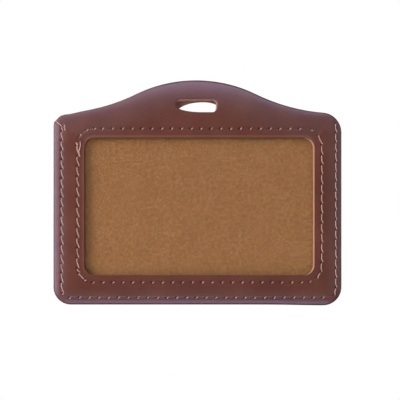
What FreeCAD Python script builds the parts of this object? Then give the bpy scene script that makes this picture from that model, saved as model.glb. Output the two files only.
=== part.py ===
import FreeCAD, Part
import math
import os
import Sketcher

# Card holder: two leather panels sewn together round the left, bottom and right, open at the top.
# The front panel has a window with a clear film sewn behind it. Above the mouth each panel runs on
# into a free leaf with a punched slot, and the holder hangs from the two slots.
# Frame: origin at the centre of the front slot on the plane where the panels meet,
# +X to the right seen from the front, +Y to the rear, +Z up. Millimetres.

SIZES = {
    "body_width": 105.0,        # left edge to right edge
    "body_height": 82.0,        # bottom edge to the top of the crown
    "body_shift": 0.4,          # middle of the body from the slot, sideways
    "slot_lift": 72.7,          # bottom edge to the middle of the slot
    "corner_radius": 5.0,       # two bottom corners
    "shoulder_radius": 5.0,     # two top corners
    "crown_shift": -0.2,        # middle of the crown from the slot, sideways
    "crown_radius": 49.5,       # convex arc above the slot
    "saddle_radius": 69.0,      # concave arcs either side of the crown
    "saddle_reach": 52.3,       # crown axis to each saddle's centre, sideways
    "bend_lift": 67.0,          # bottom edge to the line the leaves bend on
    "leather": 1.1,             # thickness of each panel
    "film": 0.25,               # thickness of the window film
    "card_gap": 1.0,            # room for a card between film and rear panel
    "rim": 3.5,                 # flat sewn rim, from the edge to the foot of the rise
    "rise_run": 1.8,            # width of the slope from the rim up to the raised front
    "bend_play": 0.05,          # clearance round each leaf's rolled lower edge
    "window_width": 83.8,
    "window_height": 50.1,
    "window_radius": 3.7,
    "window_shift": 1.2,        # middle of the window from the slot, sideways
    "window_lift": 10.8,        # bottom edge of the body to the bottom of the window
    "slot_width": 15.1,
    "slot_height": 5.0,
    "slot_radius": 1.8,
    "rear_slot_shift": 0.5,     # the rear slot sits a little to the right of the front one
    "rear_slot_drop": 0.7,      # and a little lower
    "stitch": 3.6,              # needle hole to needle hole
    "thread": 0.5,              # width of a sewn thread lying on the leather
    "thread_rise": 0.25,        # its height
    "peg_radius": 0.3,          # thread inside a needle hole
    "hole_play": 0.05,          # clearance round it
    "seam_width": 89.1,         # window seam, a closed rounded rectangle
    "seam_height": 56.0,
    "seam_radius": 5.75,
    "seam_shift": 1.1,          # middle of the window seam from the slot, sideways
    "seam_lift": 8.15,          # bottom edge of the body to the bottom row of the window seam
    "film_margin": 1.4,         # film beyond the window seam
    "edge_left": 2.9,           # edge seam, inset from each edge
    "edge_right": 2.1,
    "edge_bottom": 2.6,
    "edge_radius": 2.0,
    "edge_top": 65.4,           # bottom edge of the body to the top stitch of the edge seam
}

doc = FreeCAD.newDocument("CardHolder")
sheet = doc.addObject("Spreadsheet::Sheet", "Sizes")
for row, (name, value) in enumerate(SIZES.items(), start=1):
    sheet.set(f"A{row}", name)
    sheet.set(f"B{row}", str(value))
    sheet.setAlias(f"B{row}", name)
doc.recompute()


def size(name):
    return float(sheet.get(name))


# Places worked out from the sheet, as formulas for the document and as numbers for first guesses.
BOTTOM = "-Sizes.slot_lift"
BEND = "Sizes.bend_lift - Sizes.slot_lift"
RISE = "Sizes.film + Sizes.card_gap"
FRONT_FIBRE = "Sizes.film + Sizes.card_gap + Sizes.leather / 2"
bottom = -size("slot_lift")
bend = bottom + size("bend_lift")
left = size("body_shift") - size("body_width") / 2
right = size("body_shift") + size("body_width") / 2
rise = size("film") + size("card_gap")
leather = size("leather")
FAR = 200.0                     # reach of a cut that only has to clear the body


# ---------------------------------------------------------------- sketch helpers

def new_body(name):
    body = doc.addObject("PartDesign::Body", name)
    body.Label = name
    return body


def new_sketch(body, name, role, offset=None):
    """A sketch on one of the body's own origin planes, moved along its normal by a sheet formula."""
    sketch = body.newObject("Sketcher::SketchObject", name)
    plane = next(f for f in body.Origin.OriginFeatures if f.Role == role)
    sketch.AttachmentSupport = [(plane, "")]
    sketch.MapMode = "FlatFace"
    if offset:
        sketch.setExpression("AttachmentOffset.Base.z", offset)
    return sketch


def constrain(sketch, kind, *where, formula=None):
    """One constraint, bound to the sheet where it has a size."""
    if formula is None:
        return sketch.addConstraint(Sketcher.Constraint(kind, *where))
    index = sketch.addConstraint(Sketcher.Constraint(kind, *where))
    sketch.setExpression(f"Constraints[{index}]", formula)
    return index


def arc(centre_x, centre_z, radius, start, end):
    circle = Part.Circle(FreeCAD.Vector(centre_x, centre_z, 0), FreeCAD.Vector(0, 0, 1), radius)
    return Part.ArcOfCircle(circle, start, end)


def line(x0, z0, x1, z1):
    return Part.LineSegment(FreeCAD.Vector(x0, z0, 0), FreeCAD.Vector(x1, z1, 0))


def place(sketch, geometry, point, x_formula, z_formula, x, z):
    """Fix a point of the sketch at a place given by two sheet formulas."""
    constrain(sketch, "DistanceX", -1, 1, geometry, point, x, formula=x_formula)
    constrain(sketch, "DistanceY", -1, 1, geometry, point, z, formula=z_formula)


def draw_outline(sketch):
    """The whole front view: bottom corners, straight sides, shoulders, saddles and crown."""
    corner = size("corner_radius")
    shoulder = size("shoulder_radius")
    crown = size("crown_radius")
    saddle = size("saddle_radius")
    reach = size("saddle_reach")
    crown_x = size("crown_shift")
    crown_z = bottom + size("body_height") - crown
    saddle_z = crown_z + math.sqrt((crown + saddle) ** 2 - reach ** 2)
    lean = math.asin(reach / (crown + saddle))

    def shoulder_place(side, edge):
        x = edge - side * shoulder
        z = saddle_z - math.sqrt((saddle + shoulder) ** 2 - (crown_x + side * reach - x) ** 2)
        return x, z, math.atan2(saddle_z - z, crown_x + side * reach - x)

    right_x, right_z, right_turn = shoulder_place(1, right)
    left_x, left_z, left_turn = shoulder_place(-1, left)
    geometry = [
        arc(crown_x, crown_z, crown, math.pi / 2 - lean, math.pi / 2 + lean),
        arc(crown_x - reach, saddle_z, saddle, left_turn + math.pi, 1.5 * math.pi + lean),
        arc(left_x, left_z, shoulder, left_turn, math.pi),
        line(left, left_z, left, bottom + corner),
        arc(left + corner, bottom + corner, corner, math.pi, 1.5 * math.pi),
        line(left + corner, bottom, right - corner, bottom),
        arc(right - corner, bottom + corner, corner, 1.5 * math.pi, 2 * math.pi),
        line(right, bottom + corner, right, right_z),
        arc(right_x, right_z, shoulder, 0, right_turn),
        arc(crown_x + reach, saddle_z, saddle, 1.5 * math.pi - lean, right_turn + math.pi),
    ]
    first = 1
    last = 2
    sketch.addGeometry(geometry, False)
    joins = [(0, last, 1, last), (1, first, 2, first), (2, last, 3, first), (3, last, 4, first),
             (4, last, 5, first), (5, last, 6, first), (6, last, 7, first), (7, last, 8, first),
             (8, last, 9, last), (9, first, 0, first)]
    for join in joins:
        constrain(sketch, "Tangent", *join)
    for upright in (3, 7):
        constrain(sketch, "Vertical", upright)
    constrain(sketch, "Horizontal", 5)
    for round_part, alias in ((0, "crown"), (1, "saddle"), (9, "saddle"), (2, "shoulder"), (8, "shoulder"),
                              (4, "corner"), (6, "corner")):
        radius = f"{alias}_radius"
        constrain(sketch, "Radius", round_part, size(radius), formula=f"Sizes.{radius}")
    crown_lift = f"{BOTTOM} + Sizes.body_height - Sizes.crown_radius"
    place(sketch, 0, 3, "Sizes.crown_shift", crown_lift, crown_x, crown_z)
    constrain(sketch, "DistanceX", -1, 1, 3, 1, left, formula="Sizes.body_shift - Sizes.body_width / 2")
    constrain(sketch, "DistanceX", -1, 1, 7, 1, right, formula="Sizes.body_shift + Sizes.body_width / 2")
    constrain(sketch, "DistanceY", -1, 1, 5, 1, bottom, formula=BOTTOM)
    for saddle_arc, sign in ((1, "-"), (9, "+")):
        formula = f"Sizes.crown_shift {sign} Sizes.saddle_reach"
        guess = crown_x + (reach if sign == "+" else -reach)
        constrain(sketch, "DistanceX", -1, 1, saddle_arc, 3, guess, formula=formula)


def draw_box(sketch, low_x, low_z, high_x, high_z):
    """A plain rectangle; each side is a (formula, value) pair."""
    sides = [line(low_x[1], low_z[1], high_x[1], low_z[1]),
             line(high_x[1], low_z[1], high_x[1], high_z[1]),
             line(high_x[1], high_z[1], low_x[1], high_z[1]),
             line(low_x[1], high_z[1], low_x[1], low_z[1])]
    sketch.addGeometry(sides, False)
    for side in range(4):
        constrain(sketch, "Coincident", side, 2, (side + 1) % 4, 1)
        constrain(sketch, "Horizontal" if side % 2 == 0 else "Vertical", side)
    place(sketch, 0, 1, low_x[0], low_z[0], low_x[1], low_z[1])
    place(sketch, 2, 1, high_x[0], high_z[0], high_x[1], high_z[1])


def draw_round_box(sketch, middle_x, low_z, width, height, radius):
    """A rectangle with four rounded corners; each size is a (formula, value) pair."""
    r = radius[1]
    x0 = middle_x[1] - width[1] / 2
    x1 = middle_x[1] + width[1] / 2
    z0 = low_z[1]
    z1 = low_z[1] + height[1]
    turn = math.pi / 2
    sides = [line(x0 + r, z0, x1 - r, z0), arc(x1 - r, z0 + r, r, 3 * turn, 4 * turn),
             line(x1, z0 + r, x1, z1 - r), arc(x1 - r, z1 - r, r, 0, turn),
             line(x1 - r, z1, x0 + r, z1), arc(x0 + r, z1 - r, r, turn, 2 * turn),
             line(x0, z1 - r, x0, z0 + r), arc(x0 + r, z0 + r, r, 2 * turn, 3 * turn)]
    sketch.addGeometry(sides, False)
    for side in range(8):
        constrain(sketch, "Tangent", side, 2, (side + 1) % 8, 1)
    for side in (0, 4):
        constrain(sketch, "Horizontal", side)
    for side in (2, 6):
        constrain(sketch, "Vertical", side)
    for corner in (1, 3, 5, 7):
        constrain(sketch, "Radius", corner, r, formula=radius[0])
    edges = [("DistanceY", 0, low_z[0], z0), ("DistanceY", 4, f"{low_z[0]} + {height[0]}", z1),
             ("DistanceX", 6, f"{middle_x[0]} - {width[0]} / 2", x0),
             ("DistanceX", 2, f"{middle_x[0]} + {width[0]} / 2", x1)]
    for kind, side, formula, value in edges:
        constrain(sketch, kind, -1, 1, side, 1, value, formula=formula)


def draw_disc(sketch, y_formula, y, radius_formula, radius):
    """A circle about the bend line, on the side-view plane."""
    circle = Part.Circle(FreeCAD.Vector(y, bend, 0), FreeCAD.Vector(0, 0, 1), radius)
    sketch.addGeometry(circle, False)
    place(sketch, 0, 3, y_formula, BEND, y, bend)
    constrain(sketch, "Radius", 0, radius, formula=radius_formula)


# ---------------------------------------------------------------- feature helpers

def pad(body, sketch, formula, backwards=False, taper=None, both_ways=False):
    feature = body.newObject("PartDesign::Pad", sketch.Name + "_pad")
    feature.Profile = sketch
    feature.Reversed = backwards
    feature.setExpression("Length", formula)
    if both_ways:
        feature.SideType = "Symmetric"
    if taper:
        feature.setExpression("TaperAngle", taper)
    doc.recompute()
    return feature


def cut(body, sketch, formula=None, taper=None, backwards=False):
    """A pocket; with no formula it runs right through both ways. Raises if it removed nothing."""
    before = body.Shape.Volume
    feature = body.newObject("PartDesign::Pocket", sketch.Name + "_cut")
    feature.Profile = sketch
    feature.Reversed = backwards
    if formula:
        feature.setExpression("Length", formula)
    else:
        feature.SideType = "Symmetric"
        feature.Length = 2 * FAR
    if taper:
        feature.setExpression("TaperAngle", taper)
    doc.recompute()
    if body.Shape.Volume > before - 1e-6:
        raise RuntimeError(f"{feature.Name} removed nothing")
    return feature


# ---------------------------------------------------------------- seams

def flat(x, z):
    return FreeCAD.Vector(x, 0, z)


def window_seam():
    """The closed stitch line round the window, as a wire on the plane where the panels meet."""
    radius = size("seam_radius")
    half = size("seam_width") / 2
    x0 = size("seam_shift") - half
    x1 = size("seam_shift") + half
    z0 = bottom + size("seam_lift")
    z1 = z0 + size("seam_height")
    return rounded_path([flat(x0, z0), flat(x1, z0), flat(x1, z1), flat(x0, z1)], radius, closed=True)


def edge_seam():
    """The open stitch line down the left edge, along the bottom and up the right edge."""
    x0 = left + size("edge_left")
    x1 = right - size("edge_right")
    z0 = bottom + size("edge_bottom")
    z1 = bottom + size("edge_top")
    corners = [flat(x0, z1), flat(x0, z0), flat(x1, z0), flat(x1, z1)]
    return rounded_path(corners, size("edge_radius"), closed=False)


def rounded_path(corners, radius, closed):
    """Straight runs between the corners, with a tangent arc of the same radius at each turn."""
    count = len(corners)
    turns = range(count) if closed else range(1, count - 1)
    cuts = {}
    for i in turns:
        back = (corners[i - 1] - corners[i]).normalize()
        ahead = (corners[(i + 1) % count] - corners[i]).normalize()
        start = corners[i] + back * radius
        end = corners[i] + ahead * radius
        middle = corners[i] + (back + ahead) * radius - (back + ahead).normalize() * radius
        cuts[i] = (start, middle, end)
    edges = []
    for i in range(count if closed else count - 1):
        j = (i + 1) % count
        run_start = cuts[i][2] if i in cuts else corners[i]
        run_end = cuts[j][0] if j in cuts else corners[j]
        edges.append(Part.makeLine(run_start, run_end))
        if j in cuts:
            edges.append(Part.Arc(*cuts[j]).toShape())
    return Part.Wire(edges)


def needle_places(seam):
    """Evenly spaced needle holes along a seam, as near to the stitch length as a whole number allows."""
    stitches = round(seam.Length / size("stitch"))
    points = seam.discretize(Number=stitches + 1)
    return points[:-1] if seam.isClosed() else points


def needle_holes(body, name, places):
    """Round holes through the body, all of one size."""
    sketch = new_sketch(body, name, "XZ_Plane")
    radius = size("peg_radius") + size("hole_play")
    for point in places:
        middle = FreeCAD.Vector(point.x, point.z, 0)
        sketch.addGeometry(Part.Circle(middle, FreeCAD.Vector(0, 0, 1), radius), False)
    constrain(sketch, "Radius", 0, radius, formula="Sizes.peg_radius + Sizes.hole_play")
    for other in range(1, len(places)):
        constrain(sketch, "Equal", 0, other)
    cut(body, sketch)


def thread_band(seam, half_width, surface_y, rise_y):
    """A flat band that follows a seam, from surface_y up by rise_y."""
    if seam.isClosed():
        rims = [seam.makeOffset2D(half_width), seam.makeOffset2D(-half_width)]
        band = Part.Face(rims, "Part::FaceMakerCheese")
    else:
        band = Part.Face(seam.makeOffset2D(half_width))
    band.translate(FreeCAD.Vector(0, surface_y, 0))
    return band.extrude(FreeCAD.Vector(0, rise_y, 0))


def sewn_thread(name, seam, surface_y, outward, depth):
    """One thread of a lock-stitch seam: it lies on a face and dips into every needle hole."""
    ribbon = thread_band(seam, size("thread") / 2, surface_y, outward * size("thread_rise"))
    inward = FreeCAD.Vector(0, -outward, 0)
    pegs = [Part.makeCylinder(size("peg_radius"), depth, FreeCAD.Vector(p.x, surface_y, p.z), inward)
            for p in needle_places(seam)]
    thread = doc.addObject("Part::Feature", name)
    thread.Label = name
    thread.Shape = ribbon.multiFuse(pegs)
    thread.Placement = FreeCAD.Placement()
    return thread


# ---------------------------------------------------------------- the panels

FIELD_TAPER = "atan(Sizes.rise_run / (Sizes.film + Sizes.card_gap))"


def field_box(sketch):
    """The raised part of the front panel, open upwards past the bend line."""
    rim = size("rim")
    draw_box(sketch,
             ("Sizes.body_shift - Sizes.body_width / 2 + Sizes.rim", left + rim),
             (f"{BOTTOM} + Sizes.rim", bottom + rim),
             ("Sizes.body_shift + Sizes.body_width / 2 - Sizes.rim", right - rim),
             (f"{BEND} + 2 * Sizes.rise_run", bend + 2 * size("rise_run")))


def trim_at_bend(body, keep_below):
    """Cut the panel off along the bend line, keeping the part below or above it."""
    sketch = new_sketch(body, body.Name + "_trim", "XZ_Plane")
    far = ("Sizes.body_width", size("body_width"))
    near = ("-Sizes.body_width", -size("body_width"))
    line_at_bend = (BEND, bend)
    if keep_below:
        draw_box(sketch, near, line_at_bend, far, far)
    else:
        draw_box(sketch, near, near, far, line_at_bend)
    cut(body, sketch)


def bend_seat(body, y_formula, y):
    """A round groove along the panel's top edge, where the leaf's rolled edge turns."""
    sketch = new_sketch(body, body.Name + "_seat", "YZ_Plane")
    draw_disc(sketch, y_formula, y, "Sizes.leather / 2 + Sizes.bend_play", leather / 2 + size("bend_play"))
    cut(body, sketch)


def rolled_edge(body, y_formula, y):
    """The leaf's lower edge, a full round of the leather's own thickness about the bend line."""
    sketch = new_sketch(body, body.Name + "_roll", "YZ_Plane", offset="Sizes.body_shift")
    draw_disc(sketch, y_formula, y, "Sizes.leather / 2", leather / 2)
    pad(body, sketch, "Sizes.body_width - Sizes.leather", both_ways=True)


def punched_slot(body, shift, drop):
    """The strap slot; shift and drop are (formula, value) pairs from the front slot's place."""
    sketch = new_sketch(body, body.Name + "_slot", "XZ_Plane")
    draw_round_box(sketch, shift, (f"-Sizes.slot_height / 2 - {drop[0]}", -size("slot_height") / 2 - drop[1]),
                   ("Sizes.slot_width", size("slot_width")), ("Sizes.slot_height", size("slot_height")),
                   ("Sizes.slot_radius", size("slot_radius")))
    cut(body, sketch)


front_y = (f"-({FRONT_FIBRE})", -(rise + leather / 2))
rear_y = ("Sizes.leather / 2", leather / 2)
seam_round_window = window_seam()
seam_round_edge = edge_seam()

front_panel = new_body("front_panel")
rim_outline = new_sketch(front_panel, "rim_outline", "XZ_Plane")
draw_outline(rim_outline)
pad(front_panel, rim_outline, "Sizes.leather")
raised = new_sketch(front_panel, "raised_front", "XZ_Plane", offset="Sizes.leather")
field_box(raised)
pad(front_panel, raised, RISE, taper=f"-{FIELD_TAPER}")
hollow = new_sketch(front_panel, "card_hollow", "XZ_Plane")
field_box(hollow)
cut(front_panel, hollow, RISE, taper=f"-{FIELD_TAPER}", backwards=True)
window = new_sketch(front_panel, "window", "XZ_Plane")
draw_round_box(window, ("Sizes.window_shift", size("window_shift")),
               (f"{BOTTOM} + Sizes.window_lift", bottom + size("window_lift")),
               ("Sizes.window_width", size("window_width")), ("Sizes.window_height", size("window_height")),
               ("Sizes.window_radius", size("window_radius")))
cut(front_panel, window)
trim_at_bend(front_panel, keep_below=True)
bend_seat(front_panel, *front_y)
needle_holes(front_panel, "window_needle_holes", needle_places(seam_round_window))
needle_holes(front_panel, "front_edge_needle_holes", needle_places(seam_round_edge))

rear_blank = new_body("rear_panel_blank")
rear_outline = new_sketch(rear_blank, "rear_outline", "XZ_Plane")
draw_outline(rear_outline)
pad(rear_blank, rear_outline, "Sizes.leather", backwards=True)
trim_at_bend(rear_blank, keep_below=True)
bend_seat(rear_blank, *rear_y)
needle_holes(rear_blank, "rear_edge_needle_holes", needle_places(seam_round_edge))

# The bobbin thread pulls down into the rear face, so that it lies flush in a groove of its own depth.
groove = doc.addObject("Part::Feature", "bobbin_groove")
groove_half = size("thread") / 2 + size("hole_play")
groove.Shape = thread_band(seam_round_edge, groove_half, leather, -size("thread_rise"))
rear_panel = doc.addObject("Part::Cut", "rear_panel")
rear_panel.Label = "rear_panel"
rear_panel.Base = rear_blank
rear_panel.Tool = groove

front_leaf = new_body("front_leaf")
front_leaf_outline = new_sketch(front_leaf, "front_leaf_outline", "XZ_Plane", offset=RISE)
draw_outline(front_leaf_outline)
pad(front_leaf, front_leaf_outline, "Sizes.leather")
trim_at_bend(front_leaf, keep_below=False)
rolled_edge(front_leaf, *front_y)
punched_slot(front_leaf, ("0", 0.0), ("0", 0.0))

rear_leaf = new_body("rear_leaf")
rear_leaf_outline = new_sketch(rear_leaf, "rear_leaf_outline", "XZ_Plane")
draw_outline(rear_leaf_outline)
pad(rear_leaf, rear_leaf_outline, "Sizes.leather", backwards=True)
trim_at_bend(rear_leaf, keep_below=False)
rolled_edge(rear_leaf, *rear_y)
punched_slot(rear_leaf, ("Sizes.rear_slot_shift", size("rear_slot_shift")),
             ("Sizes.rear_slot_drop", size("rear_slot_drop")))


# ---------------------------------------------------------------- the window film

window_film = new_body("window_film")
film_outline = new_sketch(window_film, "film_outline", "XZ_Plane", offset="Sizes.card_gap")
margin = size("film_margin")
film_half = size("seam_width") / 2 + margin
film_low = bottom + size("seam_lift") - margin
film_high = film_low + size("seam_height") + 2 * margin
draw_box(film_outline,
         ("Sizes.seam_shift - Sizes.seam_width / 2 - Sizes.film_margin", size("seam_shift") - film_half),
         (f"{BOTTOM} + Sizes.seam_lift - Sizes.film_margin", film_low),
         ("Sizes.seam_shift + Sizes.seam_width / 2 + Sizes.film_margin", size("seam_shift") + film_half),
         (f"{BOTTOM} + Sizes.seam_lift + Sizes.seam_height + Sizes.film_margin", film_high))
pad(window_film, film_outline, "Sizes.film")
needle_holes(window_film, "film_needle_holes", needle_places(seam_round_window))


# ---------------------------------------------------------------- the sewing thread

# Needle and bobbin thread of each seam meet half way through what they sew together.
front_face = -(rise + leather)
film_back = -size("card_gap")
window_lock = (film_back - front_face) / 2
window_needle_thread = sewn_thread("window_needle_thread", seam_round_window, front_face, -1, window_lock)
window_bobbin_thread = sewn_thread("window_bobbin_thread", seam_round_window, film_back, 1, window_lock)
edge_needle_thread = sewn_thread("edge_needle_thread", seam_round_edge, -leather, -1, leather)
groove_floor = leather - size("thread_rise")
edge_bobbin_thread = sewn_thread("edge_bobbin_thread", seam_round_edge, groove_floor, 1, groove_floor)


# ---------------------------------------------------------------- checks and files

subparts = [front_panel, front_leaf, rear_panel, rear_leaf, window_film,
            window_needle_thread, window_bobbin_thread, edge_needle_thread, edge_bobbin_thread]
doc.recompute()
for item in doc.Objects:
    if {"Invalid", "Error"} & set(item.State):
        raise RuntimeError(f"{item.Label} failed: {item.State}")
for item in subparts:
    if item.Shape.isNull() or not item.Shape.isValid():
        raise RuntimeError(f"{item.Label} has no valid shape")

os.makedirs("parts", exist_ok=True)
for item in subparts:
    item.Shape.exportStep(f"parts/{item.Label}.step")
    box = item.Shape.BoundBox
    print(f"{item.Label}: {box.XLength:.2f} x {box.YLength:.2f} x {box.ZLength:.2f} mm, "
          f"{item.Shape.Volume:.1f} mm3, {len(item.Shape.Solids)} solid(s)")
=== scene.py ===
import math

import bpy
import numpy as np
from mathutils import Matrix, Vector, geometry


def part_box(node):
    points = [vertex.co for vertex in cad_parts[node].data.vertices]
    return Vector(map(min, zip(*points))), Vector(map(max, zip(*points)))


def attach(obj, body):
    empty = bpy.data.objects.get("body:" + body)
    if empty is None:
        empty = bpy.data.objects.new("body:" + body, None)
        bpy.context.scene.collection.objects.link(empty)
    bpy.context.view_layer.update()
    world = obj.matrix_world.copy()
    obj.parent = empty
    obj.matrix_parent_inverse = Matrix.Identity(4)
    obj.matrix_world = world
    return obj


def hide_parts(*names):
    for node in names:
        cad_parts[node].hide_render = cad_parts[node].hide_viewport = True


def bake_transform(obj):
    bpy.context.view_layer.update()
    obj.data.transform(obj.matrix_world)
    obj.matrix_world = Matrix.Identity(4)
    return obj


# Leather card holder: its looks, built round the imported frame. Lengths are in millimetres
# until they become vertices, and the frame is the CAD one: +X right, +Y to the rear, +Z up.

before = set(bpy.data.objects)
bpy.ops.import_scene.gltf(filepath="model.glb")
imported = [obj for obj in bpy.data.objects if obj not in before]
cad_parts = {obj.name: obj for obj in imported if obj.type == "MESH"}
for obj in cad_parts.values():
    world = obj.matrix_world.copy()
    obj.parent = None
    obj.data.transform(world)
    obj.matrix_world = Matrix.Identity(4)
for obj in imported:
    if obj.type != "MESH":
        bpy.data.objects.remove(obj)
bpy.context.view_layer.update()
mm = 0.001

panelLow, panelHigh = (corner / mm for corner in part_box("front_panel"))
filmLow, filmHigh = (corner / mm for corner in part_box("window_film"))
left, right, bottom = panelLow.x, panelHigh.x, panelLow.z
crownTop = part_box("front_leaf")[1].z / mm
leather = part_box("rear_panel")[1].y / mm
frontFace = panelLow.y
rise = -frontFace - leather
bendLine = panelHigh.z


# Flat outlines, as closed or open runs of (x, z) points, counter-clockwise seen from the front.

def arc(centreX, centreZ, radius, start, end, step=0.2):
    count = max(2, int(abs(end - start) * radius / step))
    angles = np.linspace(start, end, count)
    return np.column_stack((centreX + radius * np.cos(angles), centreZ + radius * np.sin(angles)))


# The same run, with its points a step apart.
def evenly(points, step, closed=True):
    run = np.vstack((points, points[:1])) if closed else points
    gaps = np.linalg.norm(np.diff(run, axis=0), axis=1)
    run = run[np.concatenate(([True], gaps > 1e-6))]
    along = np.concatenate(([0], np.cumsum(np.linalg.norm(np.diff(run, axis=0), axis=1))))
    places = np.linspace(0, along[-1], max(3, round(along[-1] / step)) + 1)
    even = np.column_stack([np.interp(places, along, run[:, k]) for k in (0, 1)])
    return even[:-1] if closed else even


# A box with rounded corners. radii holds each corner's (width, height), from the bottom left one,
# counter-clockwise.
def ovalBox(x0, x1, z0, z1, radii):
    corners = [(x0, z0, 1, 1), (x1, z0, -1, 1), (x1, z1, -1, -1), (x0, z1, 1, -1)]
    parts = []
    for turn, ((x, z, sideX, sideZ), (wide, high)) in enumerate(zip(corners, radii)):
        angles = np.linspace(math.pi + turn * math.pi / 2, 1.5 * math.pi + turn * math.pi / 2, 24)
        parts.append(np.column_stack((x + sideX * wide + wide * np.cos(angles),
                                      z + sideZ * high + high * np.sin(angles))))
    return np.vstack(parts)


# Crown, saddles, shoulders, straight sides and bottom corners.
def bodyOutline():
    crownX, crown, saddle, reach = -0.2, 49.5, 69.0, 52.3
    cornerLeft, cornerRight, low = 6.3, 6.6, bottom + 0.11
    crownZ = crownTop - 0.08 - crown
    saddleZ = crownZ + math.sqrt((crown + saddle) ** 2 - reach ** 2)
    tilt = math.asin(reach / (crown + saddle))

    def shoulderAt(side, edge, shoulder):
        x = edge - side * shoulder
        z = saddleZ - math.sqrt((saddle + shoulder) ** 2 - (crownX + side * reach - x) ** 2)
        return x, z, math.atan2(saddleZ - z, crownX + side * reach - x)

    rightShoulder, leftShoulder = 7.2, 5.0
    rightX, rightZ, rightTurn = shoulderAt(1, right, rightShoulder)
    leftX, leftZ, leftTurn = shoulderAt(-1, left, leftShoulder)
    half = math.pi / 2
    return np.vstack((
        arc(right - cornerRight, low + cornerRight, cornerRight, 3 * half, 4 * half),
        arc(rightX, rightZ, rightShoulder, 0, rightTurn),
        arc(crownX + reach, saddleZ, saddle, rightTurn + math.pi, 3 * half - tilt),
        arc(crownX, crownZ, crown, half - tilt, half + tilt),
        arc(crownX - reach, saddleZ, saddle, 3 * half + tilt, leftTurn + math.pi),
        arc(leftX, leftZ, leftShoulder, leftTurn, math.pi),
        arc(left + cornerLeft, low + cornerLeft, cornerLeft, math.pi, 3 * half)))


# The run with a soft local push: the top stitches pull the edge in and out a little.
def nudged(run, x, z, reach, moveX, moveZ):
    share = np.exp(-((run[:, 0] - x) ** 2 + (run[:, 1] - z) ** 2) / reach ** 2)
    return run + np.outer(share, (moveX, moveZ))


# The edge isn't quite even. Each soft push has its (x, z) place, its reach and its (x, z) move.
pushes = [(-47.6, -3.2, 4.2, 0.0, -0.55), (-50.9, -4.9, 1.2, 0.10, -0.16),
          (-52.0, -6.1, 0.7, -0.16, 0.14), (46.0, bottom, 12.0, 0.0, -0.28)]
outline = evenly(bodyOutline(), 0.35)
for push in pushes:
    outline = nudged(outline, *push)

# The three holes that are cut in the leathers. The rear slot is out of line with the front one, and
# its upper left side is drawn in.
windowCut = {"x0": -40.7, "x1": 43.0, "z0": bottom + 10.8, "z1": bottom + 60.9,
             "radii": [(3.7, 3.7)] * 4}
frontSlotCut = {"x0": -7.45, "x1": 7.55, "z0": -2.5, "z1": 2.3,
                "radii": [(9.5, 2.4), (1.8, 1.8), (1.6, 1.6), (1.4, 1.5)]}
rearSlotCut = {"x0": -7.3, "x1": 8.1, "z0": -3.6, "z1": 1.25,
               "radii": [(1.5, 0.5), (1.8, 1.8), (5.4, 2.2), (9.5, 4.2)]}
window = evenly(ovalBox(**windowCut), 0.5)
frontSlot = evenly(ovalBox(**frontSlotCut), 0.3)
rearSlot = evenly(ovalBox(**rearSlotCut), 0.3)


# How far each point is from a run, and where on the run the nearest place is.
def distanceTo(points, run, closed=True):
    starts = run if closed else run[:-1]
    ends = np.roll(run, -1, axis=0) if closed else run[1:]
    steps = ends - starts
    lengths = np.maximum((steps ** 2).sum(1), 1e-12)
    nearest = np.empty(len(points))
    place = np.empty((len(points), 2))
    for first in range(0, len(points), 2000):
        chunk = points[first:first + 2000, None, :]
        share = np.clip(((chunk - starts) * steps).sum(2) / lengths, 0, 1)
        foot = starts + share[:, :, None] * steps
        gap = ((chunk - foot) ** 2).sum(2)
        best = gap.argmin(1)
        rows = np.arange(len(best))
        nearest[first:first + 2000] = np.sqrt(gap[rows, best])
        place[first:first + 2000] = foot[rows, best]
    return nearest, place


# Which points lie inside a closed run.
def inside(points, run):
    found = np.zeros(len(points), bool)
    ends = np.roll(run, -1, axis=0)
    x, z = points[:, 0], points[:, 1]
    for (ax, az), (bx, bz) in zip(run, ends):
        if az != bz:
            crosses = (az > z) != (bz > z)
            found ^= crosses & (x < (bx - ax) * (z - az) / (bz - az) + ax)
    return found


# The run moved sideways: to its left where distance is positive.
def offset(run, distance, closed=True):
    if closed:
        along = np.roll(run, -1, axis=0) - np.roll(run, 1, axis=0)
    else:
        along = np.gradient(run, axis=0)
    along = along / np.linalg.norm(along, axis=1)[:, None]
    return run + distance * np.column_stack((-along[:, 1], along[:, 0]))


def smooth(value, low, high):
    share = np.clip((value - low) / (high - low), 0, 1)
    return share * share * (3 - 2 * share)


# Seams. Each is a run of needle holes, with the way that its thread lies between them.

seamX0, seamX1, seamZ0, seamZ1 = -43.45, 45.65, bottom + 8.15, bottom + 64.15
edgeX0, edgeX1, edgeZ0, edgeZ1 = left + 2.9, right - 2.1, bottom + 2.6, bottom + 65.4
seamTurn, edgeTurn, seamStep = 5.75, 2.6, 0.22
windowSeam = evenly(ovalBox(seamX0, seamX1, seamZ0, seamZ1, [(seamTurn, seamTurn)] * 4), seamStep)
footLeft = arc(edgeX0 + edgeTurn, edgeZ0 + edgeTurn, edgeTurn, math.pi, 1.5 * math.pi)
footRight = arc(edgeX1 - edgeTurn, edgeZ0 + edgeTurn, edgeTurn, 1.5 * math.pi, 2 * math.pi)
edgeSeam = evenly(np.vstack(([[edgeX0, edgeZ1]], footLeft, footRight, [[edgeX1, edgeZ1]])),
                  seamStep, closed=False)

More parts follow.
